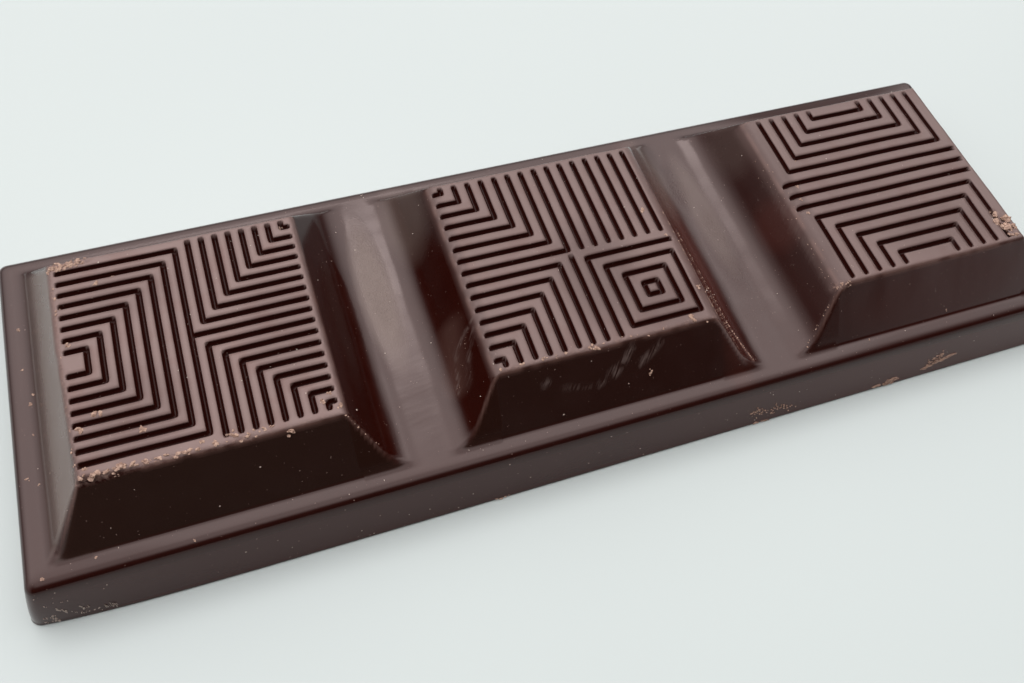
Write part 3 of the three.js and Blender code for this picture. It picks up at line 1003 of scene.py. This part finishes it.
def crumb_lumps():
    draw = np.random.default_rng(31)
    lumps = []
    for x, y, size in CRUMB_SPOTS:
        for _ in range(CRUMBS_IN_SPOT):
            length = size * draw.uniform(0.35, 0.75)
            place = surface_point(x + draw.normal(0, size * 0.25), y + draw.normal(0, size * 0.25))
            lumps.append((place, length, length * draw.uniform(0.5, 0.9), length * draw.uniform(0.3, 0.5),
                          draw.uniform(0, math.pi)))
    for (x0, y0), (x1, y1), count, spread, size in CRUMB_ROWS:
        heading = math.atan2(y1 - y0, x1 - x0)
        for _ in range(count):
            t = draw.uniform()
            length = size * draw.uniform(0.4, 1.4)
            place = surface_point(
                x0 + (x1 - x0) * t + draw.normal(0, spread), y0 + (y1 - y0) * t + draw.normal(0, spread))
            lumps.append((place, length, length * draw.uniform(0.4, 0.9), length * draw.uniform(0.25, 0.5),
                          heading + draw.normal(0, 0.7)))
    return lumps + wall_lumps(WALL_SCRATCHES, SCRATCH_THICKNESS, draw)


def speck_lumps():
    draw = np.random.default_rng(32)
    lumps = []
    for _ in range(TOP_SPECKS):
        x = draw.uniform(-48.3, 48.3)
        y = draw.uniform(-15.2, 15.2)
        size = draw.uniform(0.06, 0.15)
        lumps.append((surface_point(x, y), size, size * draw.uniform(0.5, 1), size * 0.5,
                      draw.uniform(0, math.pi)))
    for _ in range(WALL_SPECKS):
        place = wall_point(draw.uniform(-48.5, 48.5), draw.uniform(0.3, 4.4))
        size = draw.uniform(0.06, 0.14)
        lumps.append((place, size, size * 0.6, size * 0.6, 0.0))
    return lumps + wall_lumps(WALL_STROKES, STROKE_THICKNESS, draw)


# ---------------------------------------------------------------- scene

def make_table():
    mesh = bpy.data.meshes.new("table")
    half = 1.5
    mesh.from_pydata(
        [(-half, -half, 0), (half, -half, 0), (half, half, 0), (-half, half, 0)], [], [(0, 1, 2, 3)])
    table = bpy.data.objects.new("table", mesh)
    bpy.context.scene.collection.objects.link(table)
    table.data.materials.append(table_material())


def make_camera():
    data = bpy.data.cameras.new("camera")
    data.sensor_width = CAMERA_SENSOR
    data.lens = CAMERA_LENS
    data.clip_start = 0.005
    camera = bpy.data.objects.new("camera", data)
    camera.location = [v * MM for v in CAMERA_PLACE]
    camera.rotation_euler = [math.radians(a) for a in CAMERA_TURN]
    bpy.context.scene.collection.objects.link(camera)
    bpy.context.scene.camera = camera


def make_world():
    """A soft dome that dims toward the horizon, with little light from the front and the low right."""
    world = bpy.data.worlds.new("studio")
    world.use_nodes = True
    bpy.context.scene.world = world
    tree = world.node_tree
    direction = add_node(tree, "ShaderNodeTexCoord").outputs["Generated"]
    split = add_node(tree, "ShaderNodeSeparateXYZ", {0: direction})

    def ramp(value, low, high, out_low, out_high, kind="SMOOTHSTEP"):
        return add_node(tree, "ShaderNodeMapRange", {
            "Value": value, "From Min": low, "From Max": high, "To Min": out_low, "To Max": out_high},
            interpolation_type=kind).outputs["Result"]

    def toward(azimuth):
        heading = (math.cos(math.radians(azimuth)), math.sin(math.radians(azimuth)), 0.0)
        return add_node(tree, "ShaderNodeVectorMath", {
            0: direction, 1: heading}, operation="DOT_PRODUCT").outputs["Value"]

    def maths(operation, a, b):
        return add_node(tree, "ShaderNodeMath", {0: a, 1: b}, operation=operation).outputs[0]

    dome = ramp(split.outputs["Z"], 0.12, 0.78, LOW_LIGHT, DOME_LIGHT, "LINEAR")
    behind = ramp(toward(90), -0.62, 0.35, 0.04, 1.0)
    behind = maths("MAXIMUM", behind, ramp(split.outputs["Z"], 0.6, 0.95, 0.04, OVERHEAD_SHARE))
    beside = ramp(toward(125), -0.1, 0.0, 0.35, 1.0)
    beside = maths("MAXIMUM", beside, ramp(split.outputs["Z"], 0.48, 0.6, 0.0, 1.0))
    strength = maths("MULTIPLY", maths("MULTIPLY", dome, behind), beside)
    low = ramp(split.outputs["Z"], 0.12, 0.3, 1.0, 0.0)
    right = maths("MULTIPLY", low, ramp(toward(-25), 0.75, 1.0, 0.0, RIGHT_LIGHT))
    strength = maths("ADD", strength, maths("ADD", right, 0.06))
    strength = maths("ADD", strength, ramp(toward(194), 0.8, 1.0, 0.0, LEFT_LIGHT))
    tree.links.new(strength, tree.nodes["Background"].inputs["Strength"])
    tree.nodes["Background"].inputs["Color"].default_value = (1, 1, 1, 1)


def make_softboxes():
    for number, (azimuth, elevation, width, height, radiance) in enumerate(SOFTBOXES):
        azimuth, elevation = math.radians(azimuth), math.radians(elevation)
        level = math.cos(elevation)
        direction = Vector((level * math.cos(azimuth), level * math.sin(azimuth), math.sin(elevation)))
        light = bpy.data.lights.new(f"softbox_{number + 1}", "AREA")
        light.shape = "RECTANGLE"
        light.size = 2 * SOFTBOX_DISTANCE * math.tan(math.radians(width / 2))
        light.size_y = 2 * SOFTBOX_DISTANCE * math.tan(math.radians(height / 2))
        light.energy = radiance * math.pi * light.size * light.size_y
        obj = bpy.data.objects.new(light.name, light)
        obj.location = direction * SOFTBOX_DISTANCE
        obj.rotation_euler = direction.to_track_quat("Z", "Y").to_euler()
        bpy.context.scene.collection.objects.link(obj)


def dress(obj, material):
    obj.data.materials.append(material)
    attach(obj, "root")


make_camera()
make_world()
make_softboxes()
make_table()
bpy.context.scene.view_settings.view_transform = "Standard"

bar = make_bar()
dress(bar, chocolate_material())
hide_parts("bar")

crumbs = make_lumps("chocolate_crumbs", crumb_lumps(), 41)
dress(crumbs, crumb_material("crumb", CRUMB_DARK, CRUMB_PALE))
specks = make_lumps("pale_specks", speck_lumps(), 42)
dress(specks, crumb_material("speck", SPECK_DARK, SPECK_PALE))
